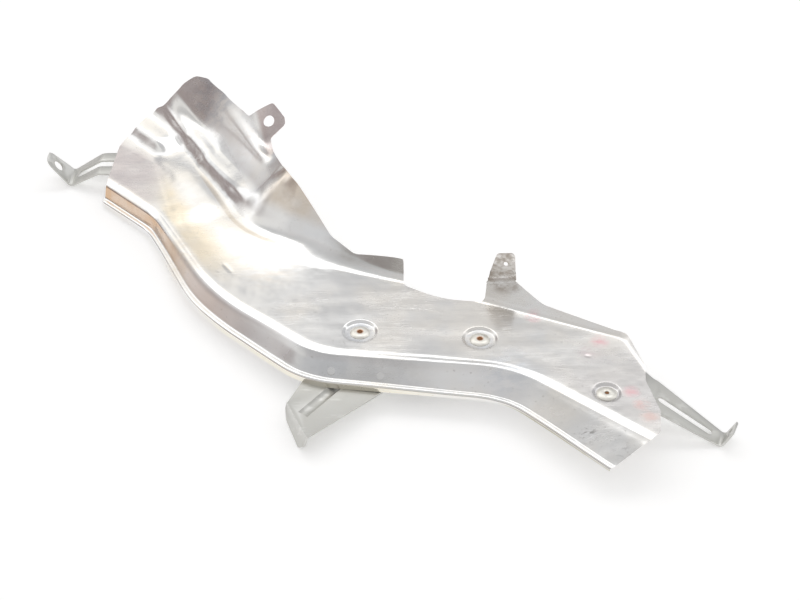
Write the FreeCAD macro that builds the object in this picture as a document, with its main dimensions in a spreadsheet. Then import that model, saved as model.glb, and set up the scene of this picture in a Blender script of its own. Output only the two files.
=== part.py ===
import FreeCAD, Part
import math
import os

import Sketcher

# Heat shield: one pressed aluminium panel with three strap brackets riveted and welded below it.
# Everything is drawn in the panel's own frame: X right, Y back, Z up, plate top at Z = 0, in mm.
# The last step lays the finished shield down on its three bracket feet.

doc = FreeCAD.newDocument("heat_shield")
sheet = doc.addObject("Spreadsheet::Sheet", "Sizes")

SIZES = {
    "panel_gauge": 0.8,
    "strap_gauge": 1.5,
    "wall_depth": 12.0,
    "hem_drop": 5.0,
    "fold_radius": 4.0,
    "wing_angle": 40.0,
    "edge_climb": 52.0,
    "rib_height": 2.6,
    "bead_height": 3.2,
    "tab_hole_d": 9.0,
    "small_tab_length": 21.0,
    "small_tab_width": 13.0,
    "small_tab_hole_d": 3.2,
    "seat_d": 25.0,
    "seat_depth": 1.6,
    "rivet_d": 4.8,
    "rivet_head_d": 14.0,
    "rivet_head_h": 1.3,
    "mandrel_d": 2.8,
    "left_strap_w": 30.0,
    "left_strap_drop": 13.5,
    "left_eye_d": 9.0,
    "left_slot_w": 8.0,
    "right_strap_drop": 23.0,
    "right_lug_rise": 14.0,
    "right_eye_d": 6.5,
    "right_slot_w": 5.0,
    "lower_arm_w": 40.0,
    "lower_toe_drop": 14.0,
    "lower_rib_r": 5.0,
}
for row, (name, value) in enumerate(SIZES.items(), start=1):
    sheet.set("A%d" % row, name)
    sheet.set("B%d" % row, str(value))
    sheet.setAlias("B%d" % row, name)
doc.recompute()
size = {name: float(sheet.get(name)) for name in SIZES}

GAUGE = size["panel_gauge"]
STRAP = size["strap_gauge"]
DEPTH = size["wall_depth"]
HEM = size["hem_drop"]
FOLD_RADIUS = size["fold_radius"]

# Plan of the panel. Both fold lines are polylines with rounded corners, matched corner to corner.
FOLD_CORNERS = [(-262, 180), (-185.5, 103.5), (-133, 8.3), (-57.3, -56.7), (75.5, -71), (181, -159.5)]
FOLD_RADII = [60, 190, 55, 82]
BACK_CORNERS = [(-262, 236), (-182, 164), (-122, 58), (3, 18), (150, -43), (175, -116)]
BACK_RADII = [70, 90, 110, 10]

# Section values at the corners, from the left end to the right end.
WALL_RUN = [3.7, 2.4, 7.5, 11, 15.4, 26.5]
LIP_WIDTH = [4.5, 4.5, 4.5, 4.5, 4, 4]
HEM_DROP = [HEM, HEM, HEM, HEM, 0.6 * HEM, 0.5 * HEM]
BACK_BEND = [60, 60, 38, 8, 5, 5]
BACK_ANGLE = [size["wing_angle"] - 2, size["wing_angle"], size["wing_angle"] + 6, 58, 45, 52]
BACK_REACH = [115, 112, 80, 40, 40, 22]

# Control net of the formed sheet: spans along the panel and up its back edge.
NET_ALONG = 36
NET_BACK = 14
FIRST_STATION = 0.3
LAST_STATION = 4.98

# Spans along the back edge where its ribbed wing, plain wing and narrow flange are parted.
BACK_SPLITS = [10, 19]

# Station of the wing's tab, where its free edge neither climbs nor dips, and the crease below that edge.
TAB_STATION = 1.25
CREASE_REACH = 50.0
CREASE_SPAN = 26.0
CREASE_SOFTNESS = 5.0

UP = FreeCAD.Vector(0, 0, 1)

RIVETS = [(-27.3, -34.0), (54.3, -41.5), (134.9, -96.3)]


def corner_arc(before, corner, after, radius):
    """Tangent points, centre and side of the arc that rounds one corner of a polyline."""
    heading_in = math.atan2(corner[1] - before[1], corner[0] - before[0])
    heading_out = math.atan2(after[1] - corner[1], after[0] - corner[0])
    turn = (heading_out - heading_in + math.pi) % (2 * math.pi) - math.pi
    cut = radius * math.tan(abs(turn) / 2)
    first = (corner[0] - cut * math.cos(heading_in), corner[1] - cut * math.sin(heading_in))
    last = (corner[0] + cut * math.cos(heading_out), corner[1] + cut * math.sin(heading_out))
    side = 1 if turn > 0 else -1
    reach = side * radius
    centre = (first[0] - reach * math.sin(heading_in), first[1] + reach * math.cos(heading_in))
    return first, last, centre, heading_in, turn, side


def walk(corners, radii):
    """Lines and arcs of a rounded polyline, as functions of 0..1 with their lengths."""
    pieces = []
    start = corners[0]
    for i, radius in enumerate(radii, start=1):
        before, corner, after = corners[i - 1:i + 2]
        first, last, centre, heading, turn, side = corner_arc(before, corner, after, radius)
        pieces.append(("line", start, first))
        pieces.append(("arc", centre, radius, heading, turn, side))
        start = last
    pieces.append(("line", start, corners[-1]))
    return pieces


def length_of(piece):
    if piece[0] == "line":
        return math.dist(piece[1], piece[2])
    return piece[2] * abs(piece[4])


def along(piece, share):
    """Point and heading at a share of one line or arc."""
    if piece[0] == "line":
        (ax, ay), (bx, by) = piece[1], piece[2]
        return ax + share * (bx - ax), ay + share * (by - ay), math.atan2(by - ay, bx - ax)
    centre, radius, heading, turn, side = piece[1:]
    heading += share * turn
    reach = side * radius
    return centre[0] + reach * math.sin(heading), centre[1] - reach * math.cos(heading), heading


def locate(pieces, station):
    """Point and heading at a station: whole numbers are the middles of the rounded corners."""
    last = (len(pieces) - 1) // 2
    span = min(int(station), last)
    parts = [(pieces[2 * span], 0.0, 1.0)]
    if span > 0:
        parts.insert(0, (pieces[2 * span - 1], 0.5, 1.0))
    if span < last:
        parts.append((pieces[2 * span + 1], 0.0, 0.5))
    lengths = [length_of(piece) * (end - begin) for piece, begin, end in parts]
    left = (station - span) * sum(lengths)
    for (piece, begin, end), length in zip(parts, lengths):
        if left <= length:
            break
        left -= length
    share = min(left / length, 1.0)
    return along(piece, begin + (end - begin) * share)


def ease(values, station):
    """Smooth change of a section value between the corners."""
    span = min(int(station), len(values) - 2)
    share = station - span
    share = share * share * (3 - 2 * share)
    return values[span] + share * (values[span + 1] - values[span])


def bump(distance, half_width):
    """Rounded rise of height 1 that dies out at half_width."""
    return max(0.0, 1 - (distance / half_width) ** 2) ** 2


def fade(value, low, high):
    share = min(max((value - low) / (high - low), 0.0), 1.0)
    return share * share * (3 - 2 * share)


def swages(station, reach):
    """Height of the stiffening ribs and the tab bead over the plain wing."""
    long_rib = bump(reach - (48 - 17 * (station - 0.5)), 11) * (1 - fade(station, 1.2, 1.75))
    short_rib = bump(reach - (22 - 8 * (station - 0.45)), 9) * (1 - fade(station, 0.65, 1.0))
    bead = bump(reach - (69 - 7 * (station - 1.04)), 6)
    bead *= fade(station, 0.98, 1.12) * (1 - fade(station, 1.48, 1.62))
    rib_share = 0.4 + 0.6 * fade(station, 0.45, 0.7)
    return size["rib_height"] * rib_share * (long_rib + short_rib) + size["bead_height"] * bead


def edge_rise(station, reach):
    """Extra rise past the crease near the wing's free edge: most at the left corner, a dip past the tab."""
    past_tab = station - TAB_STATION
    climb = -size["edge_climb"] * past_tab * (1 - fade(past_tab, 0.1, 0.75))
    beyond = reach - CREASE_REACH
    return climb * (beyond + math.hypot(beyond, CREASE_SOFTNESS)) / (2 * CREASE_SPAN)


def back_profile(station, reach):
    """Run and rise of the upturned back edge at a distance measured along the sheet."""
    radius = ease(BACK_BEND, station)
    angle = math.radians(ease(BACK_ANGLE, station))
    turned = min(reach / radius, angle)
    straight = max(reach - radius * angle, 0.0)
    run = radius * math.sin(turned) + straight * math.cos(angle)
    rise = radius * (1 - math.cos(turned)) + straight * math.sin(angle)
    lift = swages(station, reach)
    return run - lift * math.sin(turned), rise + lift * math.cos(turned) + edge_rise(station, reach)


FOLD = walk(FOLD_CORNERS, FOLD_RADII)
BACK = walk(BACK_CORNERS, BACK_RADII)


def arc_controls(centre, radius, start, end):
    """Control points of a cubic arc between two angles measured from straight up."""
    handle = 4 / 3 * math.tan((end - start) / 4) * radius
    first = (centre[0] + radius * math.sin(start), centre[1] + radius * math.cos(start))
    last = (centre[0] + radius * math.sin(end), centre[1] + radius * math.cos(end))
    return [
        first, (first[0] + handle * math.cos(start), first[1] - handle * math.sin(start)),
        (last[0] - handle * math.cos(end), last[1] + handle * math.sin(end)), last,
    ]


def front_section(station, under):
    """Control points of the hem, lip, wall and fold, at a depth under the sheet's top face."""
    run = ease(WALL_RUN, station)
    slope = math.atan2(DEPTH, run)
    fold_cut = FOLD_RADIUS * math.tan(slope / 2)
    fold_bend = arc_controls((-fold_cut, -FOLD_RADIUS), FOLD_RADIUS - under, slope, 0)
    lip_corner = (run - under * math.tan(slope / 2), -DEPTH - under)
    hem_corner = (run + ease(LIP_WIDTH, station) - under, -DEPTH - under)
    hem_edge = (hem_corner[0], -DEPTH - ease(HEM_DROP, station))
    x, y, heading = locate(FOLD, station)
    return [
        [FreeCAD.Vector(x + math.sin(heading) * out, y - math.cos(heading) * out, z) for out, z in zone]
        for zone in ([hem_edge, hem_corner], [hem_corner, lip_corner], [lip_corner, fold_bend[0]], fold_bend)
    ]


def back_section(station):
    """Control points of the upturned back edge's top face, level where it leaves the plate."""
    x, y, heading = locate(BACK, station)
    step = ease(BACK_REACH, station) / NET_BACK
    profile = [(0, 0), (step / 3, 0)]
    for count in [*range(1, NET_BACK), NET_BACK - 1 / 3, NET_BACK]:
        profile.append(back_profile(station, step * count))
    return [FreeCAD.Vector(x - math.sin(heading) * out, y + math.cos(heading) * out, z) for out, z in profile]


def shifted(net):
    """The back edge's control net moved by the sheet's thickness, square to the sheet."""
    moved = []
    for i, row in enumerate(net):
        ahead, behind = net[min(i + 1, len(net) - 1)], net[max(i - 1, 0)]
        line = [point - UP * GAUGE for point in row[:2]]
        for j in range(2, len(row)):
            across = row[min(j + 1, len(row) - 1)] - row[j - 1]
            line.append(row[j] - (ahead[j] - behind[j]).cross(across).normalize() * GAUGE)
        moved.append(line)
    return moved


def spline_surface(net):
    """Spline surface over a control net: cubic along the panel, and straight or cubic across it."""
    def knots(count, degree):
        spans = count - degree
        return [degree + 1] + [1] * (spans - 1) + [degree + 1], [float(k) for k in range(spans + 1)]

    degree = min(len(net[0]) - 1, 3)
    u_mults, u_knots = knots(len(net), 3)
    v_mults, v_knots = knots(len(net[0]), degree)
    surface = Part.BSplineSurface()
    surface.buildFromPolesMultsKnots(net, u_mults, v_mults, u_knots, v_knots, False, False, 3, degree)
    return surface


def flat_face(surface):
    """Plane face with the same four edges as a spline surface that lies in a plane."""
    u_low, u_high, v_low, v_high = surface.bounds()
    edges = [surface.vIso(v_low), surface.uIso(u_high), surface.vIso(v_high), surface.uIso(u_low)]
    return Part.Face(Part.Wire(Part.__sortEdges__([edge.toShape() for edge in edges])))


def formed_sheet():
    """Oversize formed sheet, later trimmed to the outline: hem, lip, wall, fold, plate and back edge."""
    stations = [FIRST_STATION + (LAST_STATION - FIRST_STATION) * k / NET_ALONG for k in range(NET_ALONG + 1)]
    back_net = [back_section(station) for station in stations]
    sides = []
    for under, back in ((0, back_net), (GAUGE, shifted(back_net))):
        fronts = [front_section(station, under) for station in stations]
        nets = {name: [front[k] for front in fronts] for k, name in enumerate(("hem", "lip", "wall", "fold"))}
        nets["plate"] = [[front[-1][-1], row[0]] for front, row in zip(fronts, back)]
        nets["back"] = back
        sides.append({name: spline_surface(net) for name, net in nets.items()})
    top = sides[0]
    faces = []
    for zone in top:
        u_low, u_high, v_low, v_high = top[zone].bounds()
        if zone in ("lip", "plate"):
            faces += [flat_face(side[zone]) for side in sides]
        else:
            columns = [u_low, *BACK_SPLITS, u_high] if zone == "back" else [u_low, u_high]
            for ends in zip(columns, columns[1:]):
                faces += [side[zone].toShape(*ends, v_low, v_high) for side in sides]
        for u in (u_low, u_high):
            faces.append(Part.makeRuledSurface(*[side[zone].uIso(u).toShape() for side in sides]))
    hem_edges = [side["hem"].vIso(top["hem"].bounds()[2]) for side in sides]
    back_edges = [side["back"].vIso(top["back"].bounds()[3]) for side in sides]
    faces.append(Part.makeRuledSurface(*[edge.toShape() for edge in hem_edges]))
    columns = [back_edges[0].FirstParameter, *BACK_SPLITS, back_edges[0].LastParameter]
    for ends in zip(columns, columns[1:]):
        faces.append(Part.makeRuledSurface(*[edge.toShape(*ends) for edge in back_edges]))
    shell = Part.makeShell(faces)
    shell.sewShape()
    solid = Part.Solid(shell.Shells[0])
    if solid.Volume < 0:
        solid.reverse()
    return solid


def loop_sketch(name, corners, placement=None):
    """Closed sketch through corners given as (x, y, radius)."""
    sketch = doc.addObject("Sketcher::SketchObject", name)
    if placement:
        sketch.Placement = placement
    count = len(corners)
    ends = []
    for i, (x, y, radius) in enumerate(corners):
        if radius:
            before, after = corners[i - 1], corners[(i + 1) % count]
            first, last, centre, heading, turn, side = corner_arc(before, (x, y), after, radius)
            ends.append((first, last, centre, radius, heading, turn, side))
        else:
            ends.append(((x, y), (x, y), None, 0, 0, 0, 0))
    for i, end in enumerate(ends):
        first, last, centre, radius, heading, turn, side = end
        if centre:
            middle = along(("arc", centre, radius, heading, turn, side), 0.5)
            sketch.addGeometry(Part.Arc(*[FreeCAD.Vector(*spot, 0) for spot in (first, middle[:2], last)]))
        onward = ends[(i + 1) % count][0]
        if math.dist(last, onward) > 1e-6:
            sketch.addGeometry(Part.LineSegment(FreeCAD.Vector(*last, 0), FreeCAD.Vector(*onward, 0)))
    return sketch


def extrude(name, profile, direction, behind, ahead):
    """Solid that reaches behind and ahead of a sketch's plane, by a number or by a formula on the sheet."""
    solid = doc.addObject("Part::Extrusion", name)
    solid.Base = profile
    solid.DirMode = "Custom"
    solid.Dir = direction
    for field, length in (("LengthRev", behind), ("LengthFwd", ahead)):
        if isinstance(length, str):
            solid.setExpression(field, length)
        else:
            setattr(solid, field, length)
    solid.Solid = True
    return solid


def boolean(kind, name, base, tool):
    result = doc.addObject("Part::" + kind, name)
    result.Base = base
    result.Tool = tool
    result.Refine = False
    return result


def fuse(name, shapes):
    result = doc.addObject("Part::MultiFuse", name)
    result.Shapes = shapes
    result.Refine = False
    return result


def rod(name, diameter, centre, axis, length):
    """Cylinder centred on a point; its diameter is a cell of the sheet or a number."""
    solid = doc.addObject("Part::Cylinder", name)
    if isinstance(diameter, str):
        solid.setExpression("Radius", "Sizes.%s / 2" % diameter)
    else:
        solid.Radius = diameter / 2
    solid.Height = length
    axis = FreeCAD.Vector(*axis).normalize()
    solid.Placement = FreeCAD.Placement(
        FreeCAD.Vector(*centre) - axis * (length / 2), FreeCAD.Rotation(FreeCAD.Vector(0, 0, 1), axis))
    return solid


def revolved(name, corners, x, y):
    """Solid of revolution about an upright axis through (x, y), from an (r, z) profile."""
    upright = FreeCAD.Placement(FreeCAD.Vector(x, y, 0), FreeCAD.Rotation(FreeCAD.Vector(1, 0, 0), 90))
    profile = loop_sketch(name + "_profile", corners, upright)
    solid = doc.addObject("Part::Revolution", name)
    solid.Source = profile
    solid.Axis = FreeCAD.Vector(0, 0, 1)
    solid.Base = FreeCAD.Vector(x, y, 0)
    solid.Angle = 360
    solid.Solid = True
    return solid


# Panel: the formed sheet is trimmed to its outline, then gets its tab, rivet seats and holes.
blank = doc.addObject("Part::Feature", "formed_sheet")
blank.Shape = formed_sheet()

OUTLINE = [
    (-223.5, 205, 3), (-204.3, 230.3, 14), (-176, 230.3, 25), (-151.5, 220.2, 9), (-117, 178, 3),
    (-97.7, 178.3, 4), (-85.8, 165.1, 4), (-99.3, 156.1, 3), (-96.3, 144.6, 10), (-85.2, 107.5, 40),
    (-48, 56.5, 25), (-33, 43.6, 20),
    (2.5, 31, 2), (2.5, 17, 6), (28, 1.6, 60), (59, -2.5, 4), (60.7, 6.8, 0), (80.5, 2, 0),
    (99, -13, 30), (154, -40, 10), (163, -72, 2), (161.4, -85, 10), (167.5, -114, 8), (165, -134, 4),
    (157.5, -140.7, 0), (104, -169.6, 0), (60, -140, 0), (-120, -120, 0), (-241, -60, 0), (-241, 118, 0),
    (-227, 146, 0),
]
outline = loop_sketch("panel_outline", OUTLINE)
outline_prism = extrude("outline_prism", outline, UP, 60, 120)
trimmed = boolean("Common", "trimmed_sheet", blank, outline_prism)

SEAT_FLOOR = -size["seat_depth"]
SEAT_UNDER = SEAT_FLOOR - GAUGE
CLAMP_UNDER = SEAT_UNDER - STRAP
RIVET_R = size["rivet_d"] / 2
HOLE_R = RIVET_R + 0.1
SEAT_RAMP = 1.6 * size["seat_depth"]
TIGHT_SEAT_D = size["rivet_head_d"] + 0.7 + 2 * SEAT_RAMP
SEAT_DIAMETERS = [size["seat_d"], size["seat_d"], TIGHT_SEAT_D]
SEAT_LEAN = 0.4


def seat_profile(outer_r):
    """Dished seat for a rivet head, pressed down below the plate."""
    floor_r = outer_r - SEAT_RAMP
    return [
        (HOLE_R, SEAT_FLOOR, 0), (floor_r, SEAT_FLOOR, 0), (outer_r, 0, 0), (outer_r, -GAUGE, 0),
        (floor_r - SEAT_LEAN, SEAT_UNDER, 0), (HOLE_R, SEAT_UNDER, 0),
    ]


seats = []
seat_cutters = []
for number, ((x, y), outer) in enumerate(zip(RIVETS, SEAT_DIAMETERS), start=1):
    seats.append(revolved("rivet_seat_%d" % number, seat_profile(outer / 2), x, y))
    seat_cutters.append(rod("seat_cutter_%d" % number, outer, (x, y, 0), (0, 0, 1), 12))

# Small tab standing on the raised back edge.
TAB_FOOT = FreeCAD.Vector(60.7, 6.8, 11.2)
tab_along = FreeCAD.Vector(19.8, -4.8, 4.0).normalize()
tab_up = FreeCAD.Vector(0.08, 0.19, 0.98)
tab_up = (tab_up - tab_along * tab_up.dot(tab_along)).normalize()
tab_front = tab_along.cross(tab_up)
tab_place = FreeCAD.Placement(TAB_FOOT, FreeCAD.Rotation(tab_along, tab_up, tab_front, "XYZ"))
TAB_LEAN = 9.5
tab_corners = [
    (0, -1.2, 0), (20.4, -1.2, 0), (TAB_LEAN + size["small_tab_width"], size["small_tab_length"], 3),
    (TAB_LEAN, size["small_tab_length"], 3),
]
tab_sketch = loop_sketch("small_tab_outline", tab_corners, tab_place)
small_tab = extrude("small_tab", tab_sketch, tab_front, "Sizes.panel_gauge", 0)
tab_eye = tab_place.multVec(FreeCAD.Vector(TAB_LEAN + 5.5, size["small_tab_length"] - 8, 0))
small_tab_drill = rod("small_tab_drill", "small_tab_hole_d", tab_eye, tab_front, 8)

# Bolt hole in the wing's own tab, square to the sheet at the point nearest the aim.
WING_HOLE_AIM = Part.Vertex(-100.8, 168.3, 41.8)
wing_face = min(blank.Shape.Faces, key=lambda face: WING_HOLE_AIM.distToShape(face)[0])
wing_spot = WING_HOLE_AIM.distToShape(wing_face)[1][0][1]
wing_normal = wing_face.normalAt(*wing_face.Surface.parameter(wing_spot))
wing_drill = rod("wing_tab_drill", "tab_hole_d", wing_spot, wing_normal, 30)

drills = fuse("panel_cutters", seat_cutters + [wing_drill, small_tab_drill])
with_tab = fuse("sheet_with_tab", [trimmed, small_tab])
drilled = boolean("Cut", "drilled_sheet", with_tab, drills)
panel = fuse("panel", [drilled] + seats)


def strip(points, radii, gauge):
    """Closed loop round a bent strip of even thickness whose middle line follows the points."""
    sides = {1: [], -1: []}
    for i, (x, y) in enumerate(points):
        before = points[max(i - 1, 0)]
        after = points[min(i + 1, len(points) - 1)]
        heading_in = math.atan2(y - before[1], x - before[0]) if i else None
        heading_out = math.atan2(after[1] - y, after[0] - x) if i + 1 < len(points) else heading_in
        heading_in = heading_out if heading_in is None else heading_in
        turn = (heading_out - heading_in + math.pi) % (2 * math.pi) - math.pi
        middle = heading_in + turn / 2
        offset = gauge / 2 / math.cos(turn / 2)
        bent = 0 < i < len(points) - 1
        for side in (1, -1):
            shift = (x - side * offset * math.sin(middle), y + side * offset * math.cos(middle))
            radius = radii[i - 1] - side * math.copysign(gauge / 2, turn) if bent else 0
            sides[side].append((*shift, radius))
    return sides[1] + sides[-1][::-1]


UPRIGHT = FreeCAD.Placement(FreeCAD.Vector(0, 0, 0), FreeCAD.Rotation(FreeCAD.Vector(1, 0, 0), 90))


def strap(name, side_view, bend_radii, plan, half_width):
    """Strap bracket: a bent strip seen from the side, trimmed to its plan."""
    profile = loop_sketch(name + "_side", strip(side_view, bend_radii, STRAP), UPRIGHT)
    bent = extrude(name + "_bent", profile, FreeCAD.Vector(0, 1, 0), half_width, half_width)
    plan_sketch = loop_sketch(name + "_plan", plan)
    prism = extrude(name + "_prism", plan_sketch, UP, 80, 80)
    return boolean("Common", name + "_strap", bent, prism)


def slot_cutter(name, x_low, x_high, width):
    """Long round-ended slot along X, its width a number."""
    r = width / 2
    loop = [(x_low, -r, r * 0.98), (x_high, -r, r * 0.98), (x_high, r, r * 0.98), (x_low, r, r * 0.98)]
    return extrude(name, loop_sketch(name + "_outline", loop), UP, 60, 60)


# Left bracket, welded flat under the left end. Local X runs out along the strap.
LEFT_ORIGIN = FreeCAD.Placement(FreeCAD.Vector(-226, 174, 0), FreeCAD.Rotation(UP, 180))
left_z = -GAUGE - STRAP / 2
left_run = size["left_strap_drop"] / math.tan(math.radians(30))
left_bend = (10 + left_run, left_z - size["left_strap_drop"])
left_lug = math.radians(50)
left_rise = FreeCAD.Vector(math.cos(left_lug), 0, math.sin(left_lug))
LEFT_LUG_LENGTH = 27.0
left_tip = (left_bend[0] + LEFT_LUG_LENGTH * left_rise.x, left_bend[1] + LEFT_LUG_LENGTH * left_rise.z)
left_w = size["left_strap_w"]
LEFT_START = -36
left_waist = left_bend[0] + 3
left_plan = [
    (LEFT_START, -left_w / 2, 3), (6, -left_w / 2, 10), (left_waist, -0.36 * left_w, 8),
    (left_tip[0], -7, 5.5), (left_tip[0], 7, 5.5), (left_waist, 0.36 * left_w, 8), (6, left_w / 2, 10),
    (LEFT_START, left_w / 2, 3),
]
left_view = [(LEFT_START, left_z), (10, left_z), left_bend, left_tip]
left_strap = strap("left", left_view, [8, 3], left_plan, "Sizes.left_strap_w")
left_slot = slot_cutter("left_slot", -10, left_bend[0] - 4, size["left_slot_w"])
LEFT_EYE_AT = 15.5
left_eye = FreeCAD.Vector(left_bend[0], 0, left_bend[1]) + left_rise * LEFT_EYE_AT
left_eye_axis = (-left_rise.z, 0, left_rise.x)
left_drill = rod("left_eye_drill", "left_eye_d", left_eye, left_eye_axis, 8)
left = boolean("Cut", "left", left_strap, fuse("left_cutters", [left_slot, left_drill]))

# Right bracket, held by the third rivet. Local X runs out along the strap.
RIGHT_ORIGIN = FreeCAD.Placement(FreeCAD.Vector(160.5, -93, 0), FreeCAD.Rotation(UP, -23.7))
right_z = SEAT_UNDER - STRAP / 2
right_bend = (55, right_z - size["right_strap_drop"])
right_lug = math.radians(66)
right_rise = size["right_lug_rise"]
right_tip = (right_bend[0] + right_rise / math.tan(right_lug), right_bend[1] + right_rise)
right_plan = [
    (-50, -22, 3), (-10, -22, 6), (2, -14, 10), (52, -6.5, 8), (right_tip[0] + 1, -6.5, 2.5),
    (right_tip[0] + 1, 6.5, 2.5), (52, 6.5, 8), (2, 14, 10), (-10, 22, 6), (-50, 22, 3),
]
right_strap = strap("right", [(-50, right_z), (4, right_z), right_bend, right_tip], [8, 3], right_plan, 30)
right_slot = slot_cutter("right_slot", 9, 47, size["right_slot_w"])
right_eye = ((right_bend[0] + right_tip[0]) / 2 + 0.6, 0, (right_bend[1] + right_tip[1]) / 2 + 1.4)
right_eye_axis = (-math.sin(right_lug), 0, math.cos(right_lug))
right_drill = rod("right_eye_drill", "right_eye_d", right_eye, right_eye_axis, 8)
rivet_3 = RIGHT_ORIGIN.inverse().multVec(FreeCAD.Vector(*RIVETS[2], right_z))
right_rivet_drill = rod("right_rivet_drill", 2 * HOLE_R, rivet_3, (0, 0, 1), 8)
right_cutters = fuse("right_cutters", [right_slot, right_drill, right_rivet_drill])
right = boolean("Cut", "right", right_strap, right_cutters)

# Lower bracket: a foot under two rivets, a web inside the wall and an arm that runs out under the hem.
# Local X runs along the straight middle of the wall, local Y runs back from it.
LOWER_ORIGIN = FreeCAD.Placement(FreeCAD.Vector(-29.5, -59.7, 0), FreeCAD.Rotation(UP, -6.1))
foot_z = SEAT_UNDER - STRAP / 2
arm_z = -DEPTH - HEM - STRAP / 2
TOE_START = (-42.0, -32.4)
TOE_END = (-24.0, -64.4)
arm_w = size["lower_arm_w"]
lower_plan = [
    (-16, 41, 4), (97, 41, 4), (97, 15, 4), (48, 15, 6), (arm_w, 8, 12), (*TOE_END, 0), (*TOE_START, 0),
    (-34, -6, 15), (-16, 14, 10),
]
lower_view = [(42, foot_z), (12, foot_z), (7, arm_z), (-80, arm_z)]
lower_turn = FreeCAD.Placement(
    FreeCAD.Vector(0, 0, 0),
    FreeCAD.Rotation(FreeCAD.Vector(0, 1, 0), UP, FreeCAD.Vector(1, 0, 0), "XYZ"))
lower_side = loop_sketch("lower_side", strip(lower_view, [3, 3], STRAP), lower_turn)
lower_bent = extrude("lower_bent", lower_side, FreeCAD.Vector(1, 0, 0), 70, 110)
lower_prism = extrude("lower_prism", loop_sketch("lower_plan", lower_plan), UP, 40, 20)
lower_strap = boolean("Common", "lower_strap", lower_bent, lower_prism)

toe_along = FreeCAD.Vector(TOE_END[0] - TOE_START[0], TOE_END[1] - TOE_START[1], 0)
toe_length = toe_along.Length
toe_along.normalize()
toe_out = FreeCAD.Vector(toe_along.y, -toe_along.x, 0)
toe_splay = math.radians(14)
toe_up = UP * math.cos(toe_splay) - toe_out * math.sin(toe_splay)
toe_place = FreeCAD.Placement(
    FreeCAD.Vector(*TOE_START, arm_z), FreeCAD.Rotation(toe_along, toe_up, toe_along.cross(toe_up), "XYZ"))
toe_drop = size["lower_toe_drop"]
toe_corners = [
    (0, STRAP / 2, 0), (toe_length, STRAP / 2, 0), (toe_length, -0.5 * toe_drop, 4),
    (toe_length - 7, -toe_drop, 4), (5, -0.75 * toe_drop, 6), (0, -4, 2),
]
toe_sketch = loop_sketch("lower_toe_outline", toe_corners, toe_place)
HALF_STRAP = "Sizes.strap_gauge / 2"
toe = extrude("lower_toe", toe_sketch, toe_along.cross(toe_up), HALF_STRAP, HALF_STRAP)

RIB_FROM = FreeCAD.Vector(-30, -43, 0)
RIB_TO = FreeCAD.Vector(-10, -10, 0)
rib_r = size["lower_rib_r"]
rib_sink = arm_z + STRAP / 2 + 0.6 * rib_r
rib_middle = (RIB_FROM + RIB_TO) * 0.5 + UP * rib_sink
rib_axis = RIB_TO - RIB_FROM
groove = rod("lower_groove", 2 * rib_r, rib_middle, rib_axis, rib_axis.Length)
jacket = rod("lower_rib_jacket", 2 * (rib_r + STRAP), rib_middle, rib_axis, rib_axis.Length + 2 * STRAP)
below = doc.addObject("Part::Box", "below_arm")
below.Length = 120
below.Width = 120
below.Height = 20
below.Placement.Base = FreeCAD.Vector(-90, -90, arm_z - 20)
rib_under = boolean("Common", "lower_rib_under", jacket, below)
lower_cutters = [groove]
for number, spot in enumerate(RIVETS[:2], start=1):
    centre = LOWER_ORIGIN.inverse().multVec(FreeCAD.Vector(*spot, foot_z))
    lower_cutters.append(rod("lower_rivet_drill_%d" % number, 2 * HOLE_R, centre, (0, 0, 1), 8))
lower_body = fuse("lower_body", [lower_strap, toe, rib_under])
lower = boolean("Cut", "lower", lower_body, fuse("lower_cutters", lower_cutters))

# Blind rivets and the mandrels left in them.
MANDREL_R = size["mandrel_d"] / 2
HEAD_R = size["rivet_head_d"] / 2
head_top = SEAT_FLOOR + size["rivet_head_h"]
TAIL_R = RIVET_R + 1.2
TAIL_END = CLAMP_UNDER - 4.0
RIVET_PROFILE = [
    (MANDREL_R, head_top, 0), (0.6 * HEAD_R, head_top, 0), (HEAD_R, SEAT_FLOOR, 0), (RIVET_R, SEAT_FLOOR, 0),
    (RIVET_R, CLAMP_UNDER, 0), (TAIL_R, CLAMP_UNDER, 0), (TAIL_R, TAIL_END, 0), (MANDREL_R, TAIL_END, 0),
]
MANDREL_SINK = 0.4
MANDREL_PROFILE = [
    (0, head_top - MANDREL_SINK, 0), (MANDREL_R, head_top - MANDREL_SINK, 0), (MANDREL_R, TAIL_END - 1, 0),
    (0, TAIL_END - 1, 0),
]


def group(name, profile):
    """One solid of revolution at each rivet."""
    result = doc.addObject("Part::Compound", name)
    result.Links = [revolved("%s_%d" % (name, n), profile, x, y) for n, (x, y) in enumerate(RIVETS, start=1)]
    return result


rivets = group("rivet", RIVET_PROFILE)
mandrels = group("mandrel", MANDREL_PROFILE)

NODES = {
    "shield_panel": (panel, FreeCAD.Placement()),
    "left_bracket": (left, LEFT_ORIGIN),
    "right_bracket": (right, RIGHT_ORIGIN),
    "lower_bracket": (lower, LOWER_ORIGIN),
    "rivet_bodies": (rivets, FreeCAD.Placement()),
    "rivet_mandrels": (mandrels, FreeCAD.Placement()),
}
for label, (feature, local) in NODES.items():
    feature.Label = label
    feature.Placement = local
doc.recompute()

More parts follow.
